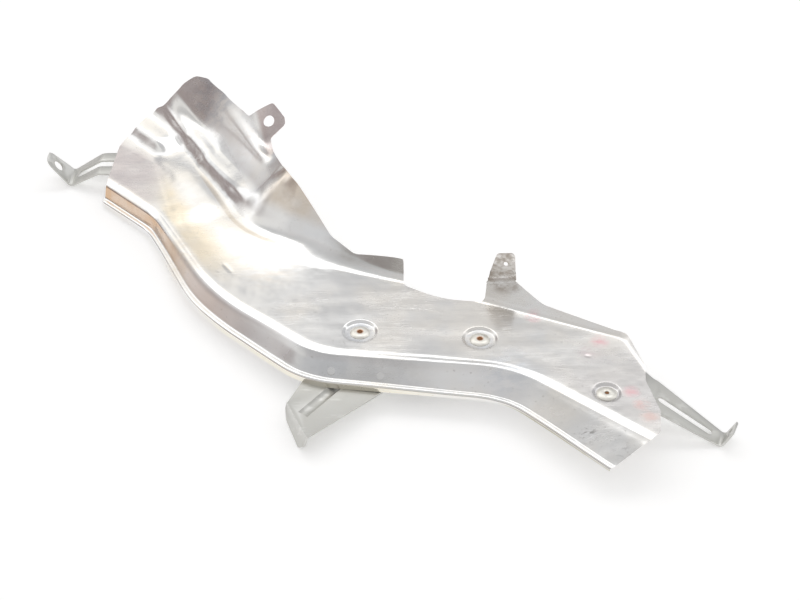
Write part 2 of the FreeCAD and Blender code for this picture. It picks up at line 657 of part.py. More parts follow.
# Rest pose: the plane under the three bracket feet becomes the ground, and the origin goes to the
# middle of the floor area that the shield covers.
FEET = ["left_bracket", "right_bracket", "lower_bracket"]
points = {label: feature.Shape.tessellate(0.1)[0] for label, (feature, local) in NODES.items()}
ground = UP
for attempt in range(6):
    low = [min(points[label], key=ground.dot) for label in FEET]
    ground = (low[1] - low[0]).cross(low[2] - low[0]).normalize()
    if ground.z < 0:
        ground = ground * -1
turn = FreeCAD.Rotation(ground, UP)
turned = [turn.multVec(point) for group_points in points.values() for point in group_points]
middle_x = (min(p.x for p in turned) + max(p.x for p in turned)) / 2
middle_y = (min(p.y for p in turned) + max(p.y for p in turned)) / 2
rest = FreeCAD.Placement(FreeCAD.Vector(-middle_x, -middle_y, -min(p.z for p in turned)), turn)
for label, (feature, local) in NODES.items():
    feature.Placement = rest.multiply(local)
doc.recompute()

for item in doc.Objects:
    if "Invalid" in item.State or "Error" in item.State:
        raise RuntimeError("%s did not build: %s" % (item.Label, item.State))
    if hasattr(item, "Shape") and (item.Shape.isNull() or not item.Shape.isValid()):
        raise RuntimeError("%s has no valid shape" % item.Label)

os.makedirs("parts", exist_ok=True)
for label, (feature, local) in NODES.items():
    feature.Shape.exportStep("parts/%s.step" % label)
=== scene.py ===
import math

import bmesh
import bpy
from mathutils import Matrix, Vector, kdtree, noise
from mathutils.bvhtree import BVHTree
from mathutils.geometry import delaunay_2d_cdt


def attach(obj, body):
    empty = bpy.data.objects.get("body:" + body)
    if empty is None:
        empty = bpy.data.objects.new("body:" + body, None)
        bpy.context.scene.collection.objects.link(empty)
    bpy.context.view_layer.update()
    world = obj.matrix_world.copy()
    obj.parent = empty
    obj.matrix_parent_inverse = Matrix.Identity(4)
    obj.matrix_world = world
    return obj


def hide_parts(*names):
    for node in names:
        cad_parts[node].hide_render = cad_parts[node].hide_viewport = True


# Heat shield: the pressed panel is built again as a fine smooth sheet in the panel's own frame
# (millimetres, plate top at Z = 0), then laid down on its feet in the shared frame (metres).

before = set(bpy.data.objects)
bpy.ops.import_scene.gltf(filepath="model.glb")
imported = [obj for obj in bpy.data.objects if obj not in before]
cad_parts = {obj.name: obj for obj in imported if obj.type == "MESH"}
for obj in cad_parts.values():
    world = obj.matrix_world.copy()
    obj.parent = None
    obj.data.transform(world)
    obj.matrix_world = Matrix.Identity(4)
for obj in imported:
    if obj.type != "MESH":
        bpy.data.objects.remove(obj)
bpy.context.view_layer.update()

MM = 0.001
UP = Vector((0, 0, 1))

# How the panel lies at rest: the normal of the ground plane and the place of the panel's origin.
GROUND = Vector((-0.017838, -0.06586, 0.997669))
PANEL_ORIGIN = Vector((28.808, -38.428, 22.499))
REST_TURN = GROUND.rotation_difference(UP).to_matrix().to_4x4()
REST = Matrix.Scale(MM, 4) @ Matrix.Translation(PANEL_ORIGIN) @ REST_TURN

# The panel's section: thickness, depth of the wall, drop of the hem, slope of the wing, and bends.
GAUGE = 0.8
DEPTH = 12.0
HEM = 5.0
WING_ANGLE = 40.0
FOLD_RADIUS = 4.0
LIP_RADIUS = 1.6
HEM_RADIUS = 1.6

# Plan lines of the fold and of the back bend: corners, and the radii that round them.
FOLD_CORNERS = [(-262, 180), (-185.5, 103.5), (-133, 8.3), (-57.3, -56.7), (75.5, -71), (181, -159.5)]
FOLD_RADII = [60, 190, 55, 82]
BACK_CORNERS = [(-262, 236), (-182, 164), (-122, 58), (3, 18), (150, -43), (175, -116)]
BACK_RADII = [70, 90, 110, 10]

# Section values at each corner. A station counts the corners along the panel: 1.5 is halfway from
# corner 1 to corner 2.
WALL_RUN = [3.7, 2.4, 7.5, 11, 15.4, 26.5]
LIP_WIDTH = [4.5, 4.5, 4.5, 4.5, 4, 4]
HEM_DROP = [HEM, HEM, HEM, HEM, 0.6 * HEM, 0.5 * HEM]
BACK_BEND = [60, 60, 38, 8, 5, 5]
BACK_ANGLE = [WING_ANGLE - 2, WING_ANGLE, WING_ANGLE + 6, 58, 45, 52]
BACK_REACH = [115, 112, 80, 40, 40, 22]
FIRST_STATION = 0.3
LAST_STATION = 4.98

# Forms of the wing. Reach is the distance along the sheet from where the wing starts to turn up. A
# pair of stations or reaches says where a fade starts and ends.

# Long rib: height, reach of its crest, how that swings out to the left and sags, widths of the ramp
# and the far side, where it ends, and how its height grows along it and swells in the middle.
LONG_RIB = 4.4
LONG_REACH = 34
LONG_SWING = 16
LONG_SWING_FROM = 1.15
LONG_SWING_SPAN = 0.63
LONG_SWING_POWER = 1.2
LONG_SAG = 3.5
LONG_SAG_AT = 1.1
LONG_SAG_HALF = 0.6
LONG_SIDES = (12.5, 13)
LONG_END = (1.55, 1.86)
LONG_FIRST_SHARE = 0.55
LONG_GROWN_SHARE = 0.45
LONG_GROWTH = (0.5, 0.85)
LONG_SWELL = 0.35
LONG_SWELL_AT = 1.05
LONG_SWELL_HALF = 0.5

# Short rib: height, reach of its crest at a station and its slope, widths of its sides, and its end.
SHORT_RIB = 5.6
SHORT_REACH = 19.4
SHORT_FROM = 0.45
SHORT_SLOPE = 11.2
SHORT_SIDES = (9.5, 20)
SHORT_END = (0.72, 0.98)

# Bead beside the bolt tab: height, reach of its crest at a station, slope and span from there, widths
# of its sides, start and end.
BEAD = 3.6
BEAD_REACH = 63.5
BEAD_FROM = 1.05
BEAD_SLOPE = 11
BEAD_SPAN = 0.45
BEAD_SIDES = (6.5, 8.5)
BEAD_START = (0.97, 1.07)
BEAD_END = (1.46, 1.6)

# Early bend, where the plate turns up before the wing: rise, start and end, the share of the plate
# that it takes and where it widens to that, and how it runs on up the wing and dies out there.
EARLY_RISE = 2.6
EARLY_START = (0.8, 1.15)
EARLY_END = (2.2, 2.7)
EARLY_WIDTH = 0.55
EARLY_WIDENS = (0.8, 1.35)
EARLY_MARGIN = 0.02
EARLY_CARRY = 14
EARLY_FADE = (2, 24)

# Free edge: climb per station from the tab, the crease where it starts, and the dip past the tab.
EDGE_CLIMB = 52.0
TAB_STATION = 1.25
CREASE_REACH = 50.0
CREASE_SPAN = 26.0
CREASE_SOFTNESS = 5.0
DIP_END = (0.05, 0.95)
DIP_SOFTENING = 0.45
DIP_SOFTENS = (0.1, 0.5)

# Crown beside the fold: drop, offset from where the bend starts, and half width.
CROWN_DROP = 0.9
CROWN_OFFSET = 1.2
CROWN_HALF = 6.2

# Plan outline of the panel: (x, y, radius) corners. The front corners lie clear of the sheet's edge.
OUTLINE = [
    (-224.2, 197, 12), (-219.8, 209.7, 5), (-211.6, 213.2, 5), (-203.8, 226.4, 6), (-196.5, 229.2, 5),
    (-189.5, 225.7, 8), (-176, 228.4, 20), (-162.3, 225, 20), (-151.8, 219.1, 12), (-139.1, 206.2, 30),
    (-117, 178, 3),
    (-97.7, 178.3, 4), (-85.8, 165.1, 4), (-99.3, 156.1, 3), (-96.4, 143.2, 10), (-84.4, 107.5, 20),
    (-79.5, 98.5, 20), (-49.9, 57.3, 25), (-33, 43.6, 20),
    (2.5, 31, 2), (2.5, 17, 6), (28, 1.6, 60), (59, -2.5, 4), (60.7, 6.8, 0), (80.5, 2, 0),
    (99, -13, 30), (154, -40, 10), (163, -72, 2), (161.4, -85, 10), (167.5, -114, 8), (165, -134, 4),
    (157.5, -140.7, 0), (104, -169.6, 0), (60, -140, 0), (-120, -120, 0), (-241, -60, 0), (-241, 118, 0),
    (-227, 146, 0),
]

# Rivet seats, and the holes for the rivets and for the bolt in the wing's tab.
RIVETS = [(-27.3, -34.0), (54.3, -41.5), (134.9, -96.3)]
SEAT_DIAMETERS = [25.0, 25.0, 19.8]
SEAT_DEPTH = 1.6
SEAT_RAMP = 1.6 * SEAT_DEPTH
RIVET_HOLE_R = 2.5
WING_HOLE = Vector((-100.8, 168.3, 41.8))
WING_NORMAL = Vector((-0.311, -0.598, 0.739))
WING_HOLE_R = 4.5

# Small tab on the back edge: its frame, corners (x, y, radius) and eye.
TAB_FOOT = Vector((60.7, 6.8, 11.2))
TAB_ALONG = Vector((0.95364, -0.23119, 0.19266))
TAB_UP = Vector((-0.13404, 0.24688, 0.95973))
TAB_FRONT = TAB_ALONG.cross(TAB_UP)
TAB_ROOT = -1.2
TAB_CORNERS = [(0, TAB_ROOT, 0), (20.4, TAB_ROOT, 0), (22.5, 21, 3), (9.5, 21, 3)]
TAB_EYE = (15, 13)
TAB_EYE_R = 1.6
TAB_BEND_TOP = 3
TAB_BEND = 0.08

# Rivets and the mandrels left in them: (radius, height) round an upright axis, from the top down.
RIVET_PROFILE = [
    (1.4, -4.0), (1.4, -0.62), (1.6, -0.40), (2.1, -0.32), (3.2, -0.31), (4.2, -0.36), (5.2, -0.58), (6.1, -0.93),
    (6.7, -1.26), (6.95, -1.48), (6.9, -1.58), (2.4, -1.6), (2.4, -3.9), (2.9, -4.0), (3.5, -4.6), (3.6, -5.6),
    (3.3, -7.0), (2.6, -7.7), (1.4, -7.9),
]
MANDREL_PROFILE = [
    (0.0, -0.72), (0.5, -0.70), (0.95, -0.78), (1.25, -0.74), (1.38, -0.9), (1.38, -8.6), (1.1, -8.85), (0.0, -8.9),
]

# Low step beside the left pad: its line in plan, rise, and its fades across the line and at the ends.
PAD_STEP = ((-194.6, 174.7), (-169.3, 91.1))
PAD_RISE = 1.5
PAD_UP = (-1, 8)
PAD_DOWN = (22, 60)
PAD_START = (-12, 8)
PAD_END = (-14, 8)

# Small pressed marks: centre, direction and half length.
PIPS = [((-123.6, 36.9), (0.55, -0.83), 4.5), ((125.9, -60.2), (1.0, 0.0), 0.4)]
PIP_R = 2.4
PIP_DEPTH = 0.25

# Slow unevenness of the thin sheet: height, size and seed of each layer of waves.
SLACK = [(0.22, 46, 3.1), (0.06, 15, 8.4)]

# Grid of the visible sheet: columns along the panel, and rows across it in each zone.
COLUMNS = 250
ZONES = [
    ("hem", 5), ("hem_bend", 6), ("lip", 2), ("lip_bend", 6), ("wall", 9), ("fold_bend", 8), ("plate", 28),
    ("back", 54),
]
ROWS = sum(count for name, count in ZONES)
PLATE_ROW = ROWS - ZONES[-1][1] - ZONES[-2][1]
PLATE_CROWDING = 1.6
FORM_ROWS = 8

# Fineness of the meshes: steps along outlines, points round holes, rings round seats and marks, how
# close to those the grid's own points may lie, and how exactly edges are found.
OUTLINE_STEP = 1.3
BOLT_HOLE_POINTS = 48
RIVET_HOLE_POINTS = 32
SEAT_RINGS = 8
SEAT_POINTS = 72
SEAT_MARGIN = 0.2
PIP_RINGS = 5
PIP_POINTS = 10
PIP_MORE_POINTS = 6
GRID_CLEARANCE = 0.42
TAB_STEP = 0.8
TAB_EYE_POINTS = 28
TAB_GRID = (24, 23)
TAB_CLEARANCE = 0.5
RIVET_POINTS = 64
MANDREL_POINTS = 24
EDGE_TOLERANCE = 1e-5
EDGE_HALVINGS = 18

# Edges: those of the panel stay crisp past an angle, and those of the brackets are broken by a width.
CRISP_ANGLE = 50
BREAK_ANGLE = 40
EDGE_BREAK = 0.28

# Cleaning of meshes: points closer than these, in metres, are one, and flatter edges than this go.
MERGE_DISTANCE = 1e-6
SOLID_MERGE_DISTANCE = 1e-5
FLAT_ANGLE = math.radians(1)


def corner_arc(before, corner, after, radius):
    """Tangent points, centre, heading, turn and side of the arc that rounds one corner of a polyline."""
    heading_in = math.atan2(corner[1] - before[1], corner[0] - before[0])
    heading_out = math.atan2(after[1] - corner[1], after[0] - corner[0])
    turn = (heading_out - heading_in + math.pi) % (2 * math.pi) - math.pi
    cut = radius * math.tan(abs(turn) / 2)
    first = (corner[0] - cut * math.cos(heading_in), corner[1] - cut * math.sin(heading_in))
    last = (corner[0] + cut * math.cos(heading_out), corner[1] + cut * math.sin(heading_out))
    side = 1 if turn > 0 else -1
    centre = (first[0] - side * radius * math.sin(heading_in), first[1] + side * radius * math.cos(heading_in))
    return first, last, centre, heading_in, turn, side


def walk(corners, radii):
    """Lines and arcs of an open polyline with rounded corners."""
    pieces = []
    start = corners[0]
    for i, radius in enumerate(radii, start=1):
        first, last, centre, heading, turn, side = corner_arc(corners[i - 1], corners[i], corners[i + 1], radius)
        pieces.append(("line", start, first))
        pieces.append(("arc", centre, radius, heading, turn, side))
        start = last
    pieces.append(("line", start, corners[-1]))
    return pieces


def length_of(piece):
    if piece[0] == "line":
        return math.dist(piece[1], piece[2])
    return piece[2] * abs(piece[4])


def along(piece, share):
    """Point and heading at a share of one line or arc."""
    if piece[0] == "line":
        (ax, ay), (bx, by) = piece[1], piece[2]
        return ax + share * (bx - ax), ay + share * (by - ay), math.atan2(by - ay, bx - ax)
    centre, radius, heading, turn, side = piece[1:]
    heading += share * turn
    return centre[0] + side * radius * math.sin(heading), centre[1] - side * radius * math.cos(heading), heading


def locate(pieces, station):
    """Point and heading at a station: whole numbers are the middles of the rounded corners."""
    last = (len(pieces) - 1) // 2
    span = min(int(station), last)
    parts = [(pieces[2 * span], 0.0, 1.0)]
    if span > 0:
        parts.insert(0, (pieces[2 * span - 1], 0.5, 1.0))
    if span < last:
        parts.append((pieces[2 * span + 1], 0.0, 0.5))
    lengths = [length_of(piece) * (end - begin) for piece, begin, end in parts]
    left = (station - span) * sum(lengths)
    for (piece, begin, end), length in zip(parts, lengths):
        if left <= length:
            break
        left -= length
    share = min(left / length, 1.0)
    return along(piece, begin + (end - begin) * share)


def ease(values, station):
    """Smooth change of a section value between the corners."""
    span = min(int(station), len(values) - 2)
    share = station - span
    share = share * share * (3 - 2 * share)
    return values[span] + share * (values[span + 1] - values[span])


def bump(distance, half_width):
    """Rounded rise of height 1 that dies out at half_width."""
    return max(0.0, 1 - (distance / half_width) ** 2) ** 2


def fade(value, low, high):
    """Smooth change from 0 at low to 1 at high."""
    share = min(max((value - low) / (high - low), 0.0), 1.0)
    return share * share * (3 - 2 * share)


def crest(distance, steep, gentle):
    """Rounded rise of height 1 with a steep near side and a gentle far side."""
    return bump(distance, steep if distance < 0 else gentle)


def flank(distance, ramp, gentle):
    """Rise of height 1 up a straight ramp, rounded at its ends, with a gentle fall beyond."""
    if distance > 0:
        return bump(distance, gentle)
    share = max(0.0, 1 + distance / ramp)
    soft = 0.18
    if share < soft:
        return share * share / (2 * soft * (1 - soft))
    if share > 1 - soft:
        return 1 - (1 - share) ** 2 / (2 * soft * (1 - soft))
    return (share - soft / 2) / (1 - soft)


def long_rib(station, reach):
    """Height of the long rib."""
    left = max(0.0, (LONG_SWING_FROM - station) / LONG_SWING_SPAN)
    line = LONG_REACH + LONG_SWING * left ** LONG_SWING_POWER
    line -= LONG_SAG * bump(station - LONG_SAG_AT, LONG_SAG_HALF)
    height = LONG_RIB * flank(reach - line, *LONG_SIDES) * (1 - fade(station, *LONG_END))
    grown = LONG_FIRST_SHARE + LONG_GROWN_SHARE * fade(station, *LONG_GROWTH)
    return height * (grown + LONG_SWELL * bump(station - LONG_SWELL_AT, LONG_SWELL_HALF))


def short_rib(station, reach):
    """Height of the short rib at the left end."""
    line = SHORT_REACH - SHORT_SLOPE * (station - SHORT_FROM)
    return SHORT_RIB * flank(reach - line, *SHORT_SIDES) * (1 - fade(station, *SHORT_END))


def tab_bead(station, reach):
    """Height of the bead beside the bolt tab."""
    line = BEAD_REACH + BEAD_SLOPE * min(station - BEAD_FROM, BEAD_SPAN)
    height = BEAD * crest(reach - line, *BEAD_SIDES)
    return height * fade(station, *BEAD_START) * (1 - fade(station, *BEAD_END))


def swages(station, reach):
    """Height of the stiffening ribs and the tab bead over the plain wing."""
    return long_rib(station, reach) + short_rib(station, reach) + tab_bead(station, reach)


def early_bend(station, width_share, reach):
    """Extra rise before the wing, at a share of the plate's width, or at a reach up the wing."""
    height = EARLY_RISE * fade(station, *EARLY_START) * (1 - fade(station, *EARLY_END))
    if reach > 0:
        return height * (1 + reach / EARLY_CARRY) * (1 - fade(reach, *EARLY_FADE))
    start = 1 - EARLY_WIDTH * fade(station, *EARLY_WIDENS)
    return height * max(0.0, (width_share - start) / (1 - start + EARLY_MARGIN)) ** 2


def fold_crown(distance):
    """How far the sheet falls off beside the fold, by the distance from where its bend starts."""
    return CROWN_DROP * bump(distance + CROWN_OFFSET, CROWN_HALF)


def edge_rise(station, reach):
    """Extra rise past the crease near the wing's free edge: most at the left corner, a dip past the tab."""
    past_tab = station - TAB_STATION
    climb = -EDGE_CLIMB * past_tab * (1 - fade(past_tab, *DIP_END))
    climb *= 1 - DIP_SOFTENING * fade(past_tab, *DIP_SOFTENS)
    beyond = reach - CREASE_REACH
    return climb * (beyond + math.hypot(beyond, CREASE_SOFTNESS)) / (2 * CREASE_SPAN)


def back_profile(station, reach):
    """Run and rise of the upturned back edge at a distance measured along the sheet."""
    radius = ease(BACK_BEND, station)
    angle = math.radians(ease(BACK_ANGLE, station))
    turned = min(reach / radius, angle)
    straight = max(reach - radius * angle, 0.0)
    run = radius * math.sin(turned) + straight * math.cos(angle)
    rise = radius * (1 - math.cos(turned)) + straight * math.sin(angle)
    lift = swages(station, reach)
    return run - lift * math.sin(turned), rise + lift * math.cos(turned) + edge_rise(station, reach)


FOLD = walk(FOLD_CORNERS, FOLD_RADII)
BACK = walk(BACK_CORNERS, BACK_RADII)


def front_profile(station, zone, share):
    """Distance out from the fold line and height, from the hem's edge back to the fold."""
    run = ease(WALL_RUN, station)
    edge = run + ease(LIP_WIDTH, station)
    slope = math.atan2(DEPTH, run)
    lip_cut = LIP_RADIUS * math.tan(slope / 2)
    fold_cut = FOLD_RADIUS * math.tan(slope / 2)
    if zone == "hem":
        return edge, -DEPTH - HEM_RADIUS - (1 - share) * (ease(HEM_DROP, station) - HEM_RADIUS)
    if zone == "hem_bend":
        turned = share * math.pi / 2
        return edge - HEM_RADIUS * (1 - math.cos(turned)), -DEPTH - HEM_RADIUS * (1 - math.sin(turned))
    if zone == "lip":
        return edge - HEM_RADIUS + share * (run + lip_cut - edge + HEM_RADIUS), -DEPTH
    if zone == "lip_bend":
        turned = share * slope
        return run + lip_cut - LIP_RADIUS * math.sin(turned), -DEPTH + LIP_RADIUS * (1 - math.cos(turned))
    if zone == "wall":
        low = (run - lip_cut * math.cos(slope), -DEPTH + lip_cut * math.sin(slope))
        high = (fold_cut * math.cos(slope), -fold_cut * math.sin(slope))
        crown = fold_crown(-FOLD_RADIUS * slope - (1 - share) * math.dist(low, high))
        return low[0] + share * (high[0] - low[0]), low[1] + share * (high[1] - low[1]) - crown
    turned = (1 - share) * slope
    crown = fold_crown(-FOLD_RADIUS * turned)
    return -fold_cut + FOLD_RADIUS * math.sin(turned), -FOLD_RADIUS * (1 - math.cos(turned)) - crown


def station_of(column):
    return FIRST_STATION + (LAST_STATION - FIRST_STATION) * column / COLUMNS


def sheet_point(column, row):
    """Point of the sheet's top face at a place in the grid."""
    station = station_of(column)
    for zone, count in ZONES:
        if row <= count or zone == "back":
            break
        row -= count
    share = row / count
    x, y, heading = locate(FOLD, station)
    out_x, out_y = math.sin(heading), -math.cos(heading)
    if zone not in ("plate", "back"):
        distance, z = front_profile(station, zone, share)
        return Vector((x + out_x * distance, y + out_y * distance, z))
    bx, by, back_heading = locate(BACK, station)
    if zone == "plate":
        inset, z = front_profile(station, "fold_bend", 1.0)
        x += out_x * inset
        y += out_y * inset
        share **= PLATE_CROWDING
        z = early_bend(station, share, 0) - fold_crown(share * math.dist((x, y), (bx, by)))
        return Vector((x + share * (bx - x), y + share * (by - y), z))
    reach = share * ease(BACK_REACH, station)
    q, z = back_profile(station, reach)
    z += early_bend(station, 1.0, reach)
    return Vector((bx - math.sin(back_heading) * q, by + math.cos(back_heading) * q, z))


def rounded_loop(corners, step):
    """Points round a closed loop of (x, y, radius) corners, no further apart than step."""
    points = []
    count = len(corners)
    ends = []
    for i, (x, y, radius) in enumerate(corners):
        if radius:
            first, last, centre, heading, turn, side = corner_arc(
                corners[i - 1], (x, y), corners[(i + 1) % count], radius)
            ends.append((first, last, ("arc", centre, radius, heading, turn, side)))
        else:
            ends.append(((x, y), (x, y), None))
    for i, (first, last, arc) in enumerate(ends):
        if arc:
            steps = max(3, math.ceil(length_of(arc) / step))
            points += [along(arc, k / steps)[:2] for k in range(steps)]
        run = ("line", last, ends[(i + 1) % count][0])
        if length_of(run) > 1e-6:
            steps = max(1, math.ceil(length_of(run) / step))
            points += [along(run, k / steps)[:2] for k in range(steps)]
    return points


def circle(centre, radius, count):
    """Points round a circle."""
    turns = [2 * math.pi * k / count for k in range(count)]
    return [(centre[0] + radius * math.cos(turn), centre[1] + radius * math.sin(turn)) for turn in turns]


def inside(point, loop):
    """Whether a plan point lies inside a closed loop."""
    x, y = point
    within = False
    previous = loop[-1]
    for current in loop:
        if (current[1] > y) != (previous[1] > y):
            cross = current[0] + (y - current[1]) * (previous[0] - current[0]) / (previous[1] - current[1])
            if x < cross:
                within = not within
        previous = current
    return within


class PlanFinder:
    """Finds the grid place of a plan point, by looking straight down on the flattened sheet."""

    def __init__(self):
        self.flat = []
        self.faces = []
        for column in range(COLUMNS + 1):
            for row in range(ROWS + 1):
                point = sheet_point(column, row)
                self.flat.append(Vector((point.x, point.y, 0)))
        stride = ROWS + 1
        for column in range(COLUMNS):
            for row in range(ROWS):
                a = column * stride + row
                self.faces.append((a, a + stride, a + stride + 1))
                self.faces.append((a, a + stride + 1, a + 1))
        self.tree = BVHTree.FromPolygons(self.flat, self.faces, all_triangles=True)

    def grid_place(self, point):
        place, _, index, _ = self.tree.ray_cast(Vector((point[0], point[1], 10)), -UP)
        if place is None:
            return None
        a, b, c = (self.flat[k] for k in self.faces[index])
        whole = (b - a).cross(c - a).z
        to_b = (place - a).cross(c - a).z / whole
        to_c = (b - a).cross(place - a).z / whole
        places = [divmod(k, ROWS + 1) for k in self.faces[index]]
        column = places[0][0] + to_b * (places[1][0] - places[0][0]) + to_c * (places[2][0] - places[0][0])
        row = places[0][1] + to_b * (places[1][1] - places[0][1]) + to_c * (places[2][1] - places[0][1])
        return column, row

    def edge_place(self, known, lost):
        """Grid place where a line from a point on the sheet to a point off it leaves the sheet."""
        for _ in range(EDGE_HALVINGS):
            middle = ((known[0] + lost[0]) / 2, (known[1] + lost[1]) / 2)
            if self.grid_place(middle):
                known = middle
            else:
                lost = middle
        column, row = self.grid_place(known)
        gaps = {(0, row): column, (COLUMNS, row): COLUMNS - column, (column, 0): row, (column, ROWS): ROWS - row}
        return min(gaps, key=gaps.get)


def seat_dip(x, y):
    """How far the plate is pressed down by the rivet seats."""
    dip = 0.0
    for (cx, cy), diameter in zip(RIVETS, SEAT_DIAMETERS):
        outer = diameter / 2
        dip = max(dip, SEAT_DEPTH * (1 - fade(math.hypot(x - cx, y - cy), outer - SEAT_RAMP, outer)))
    return dip


def pad_ramp(x, y):
    """Low step along the left pad's inner side, where the plate starts to climb to the wing."""
    (ax, ay), (bx, by) = PAD_STEP
    length = math.dist(*PAD_STEP)
    ux, uy = (bx - ax) / length, (by - ay) / length
    down = (x - ax) * ux + (y - ay) * uy
    right = (y - ay) * ux - (x - ax) * uy
    rise = PAD_RISE * (fade(right, *PAD_UP) * (1 - fade(right, *PAD_DOWN)))
    return rise * fade(down, *PAD_START) * (1 - fade(down, length + PAD_END[0], length + PAD_END[1]))


def pip_dip(x, y):
    """How far the plate is pressed down by the small locating marks."""
    dip = 0.0
    for (cx, cy), (ux, uy), half_length in PIPS:
        lengthwise = (x - cx) * ux + (y - cy) * uy
        sideways = (y - cy) * ux - (x - cx) * uy
        beyond = max(abs(lengthwise) - half_length, 0.0)
        dip = max(dip, bump(math.hypot(beyond, sideways), PIP_R))
    return PIP_DEPTH * dip


def slack(x, y):
    """Slow unevenness of the thin sheet."""
    return sum(height * noise.noise(Vector((x / size, y / size, seed))) for height, size, seed in SLACK)


def sheet_mesh():
    """Points and triangles of the panel's top face in its own frame, with each point's station and row."""
    finder = PlanFinder()
    outline = rounded_loop(OUTLINE, OUTLINE_STEP)
    tangent = WING_NORMAL.orthogonal().normalized()
    binormal = WING_NORMAL.cross(tangent)
    ring = circle((0, 0), 1, BOLT_HOLE_POINTS)
    ring = [WING_HOLE + WING_HOLE_R * (c * tangent + s * binormal) for c, s in ring]
    wing_hole = [(point.x, point.y) for point in ring]

    places = []
    edges = []

    def add_loop(loop):
        """Adds a closed plan loop to the grid as far as it lies on the sheet."""
        found = [finder.grid_place(point) for point in loop]
        first = len(places)
        places.extend(place or (0, 0) for place in found)
        for i, here in enumerate(found):
            after = (i + 1) % len(loop)
            if here and found[after]:
                edges.append((first + i, first + after))
            elif here or found[after]:
                on, off = (i, after) if here else (after, i)
                places.append(finder.edge_place(loop[on], loop[off]))
                edges.append((first + on, len(places) - 1))

    add_loop(outline)
    add_loop(wing_hole)
    for spot, diameter in zip(RIVETS, SEAT_DIAMETERS):
        floor_radius = diameter / 2 - SEAT_RAMP
        add_loop(circle(spot, RIVET_HOLE_R, RIVET_HOLE_POINTS))
        for k in range(SEAT_RINGS + 1):
            add_loop(circle(spot, floor_radius + (SEAT_RAMP + SEAT_MARGIN) * k / SEAT_RINGS, SEAT_POINTS))
    for centre, direction, half_length in PIPS:
        for k in range(1, PIP_RINGS + 1):
            radius = (half_length + PIP_R) * k / PIP_RINGS
            add_loop(circle(centre, radius, PIP_POINTS + PIP_MORE_POINTS * k))

    tree = kdtree.KDTree(len(places))
    for i, (column, row) in enumerate(places):
        tree.insert((column, row, 0), i)
    tree.balance()
    for column in range(COLUMNS + 1):
        for row in range(ROWS + 1):
            if tree.find((column, row, 0))[2] > GRID_CLEARANCE:
                places.append((column, row))

    result = delaunay_2d_cdt([Vector(place) for place in places], edges, [], 0, EDGE_TOLERANCE)
    flat_points, triangles = result[0], result[2]
    points = [sheet_point(place.x, place.y) for place in flat_points]
    kept = []
    for triangle in triangles:
        middle = sum((flat_points[k] for k in triangle), Vector((0, 0))) / 3
        place = sheet_point(middle.x, middle.y)
        spot = (place.x, place.y)
        if not inside(spot, outline) or inside(spot, wing_hole):
            continue
        if any(math.dist(spot, centre) < RIVET_HOLE_R for centre in RIVETS):
            continue
        kept.append(triangle)
    for place, point in zip(flat_points, points):
        x, y = point.x, point.y
        dip = seat_dip(x, y)
        share = fade(place.y, PLATE_ROW, PLATE_ROW + FORM_ROWS)
        clear = 1 - min(1.0, 2 * dip)
        point.z += share * (pad_ramp(x, y) - pip_dip(x, y) + clear * slack(x, y)) - dip
    return points, kept, [station_of(place.x) for place in flat_points], [place.y for place in flat_points]


def tab_mesh():
    """The small tab on the back edge, bent up from the edge at its foot."""
    loop = rounded_loop(TAB_CORNERS, TAB_STEP)
    eye = circle(TAB_EYE, TAB_EYE_R, TAB_EYE_POINTS)
    flat = loop + eye
    edges = [(k, (k + 1) % len(loop)) for k in range(len(loop))]
    edges += [(len(loop) + k, len(loop) + (k + 1) % len(eye)) for k in range(len(eye))]
    for column in range(TAB_GRID[0]):
        for row in range(TAB_GRID[1]):
            spot = (column, row + TAB_ROOT + TAB_CLEARANCE)
            away = min(math.dist(spot, other) for other in loop + eye)
            if inside(spot, loop) and not inside(spot, eye) and away > TAB_CLEARANCE:
                flat.append(spot)
    result = delaunay_2d_cdt([Vector(spot) for spot in flat], edges, [], 0, EDGE_TOLERANCE)
    points = []
    for u, v in result[0]:
        bend = TAB_BEND * max(0.0, TAB_BEND_TOP - v) ** 2
        points.append(TAB_FOOT + u * TAB_ALONG + v * TAB_UP + bend * TAB_FRONT)
    kept = []
    for triangle in result[2]:
        middle = sum((result[0][k] for k in triangle), Vector((0, 0))) / 3
        if inside(middle, loop) and not inside(middle, eye):
            kept.append(triangle)
    return points, kept


def lathe(profile, centres, count):
    """Rings of points and quads of a profile turned about upright axes."""
    points = []
    faces = []
    for x, y in centres:
        first = len(points)
        for r, z in profile:
            points += [Vector((x + r * c, y + r * s, z)) for c, s in circle((0, 0), 1, count)]
        for ring in range(len(profile) - 1):
            for k in range(count):
                a = first + ring * count + k
                b = first + ring * count + (k + 1) % count
                faces.append((a, a + count, b + count, b))
    return points, faces


def add_object(name, mesh, material, node):
    """New smooth piece on the part's one body that stands for a CAD node."""
    mesh.shade_smooth()
    mesh.materials.clear()
    mesh.materials.append(material)
    piece = bpy.data.objects.new(name, mesh)
    bpy.context.scene.collection.objects.link(piece)
    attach(piece, "root")
    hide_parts(node)
    return piece


def add_piece(name, points, faces, material, node, slot, marks=None):
    """New piece from points in the panel's frame, with values marked on its points."""
    mesh = bpy.data.meshes.new(name)
    mesh.from_pydata(points, [], faces)
    for mark, values in (marks or {}).items():
        mesh.attributes.new(mark, "FLOAT", "POINT").data.foreach_set("value", values)
    mesh.transform(REST)
    build = bmesh.new()
    build.from_mesh(mesh)
    bmesh.ops.remove_doubles(build, verts=build.verts, dist=MERGE_DISTANCE)
    bmesh.ops.delete(build, geom=[v for v in build.verts if not v.link_faces], context="VERTS")
    build.to_mesh(mesh)
    build.free()
    return add_object(name, mesh, material, node)


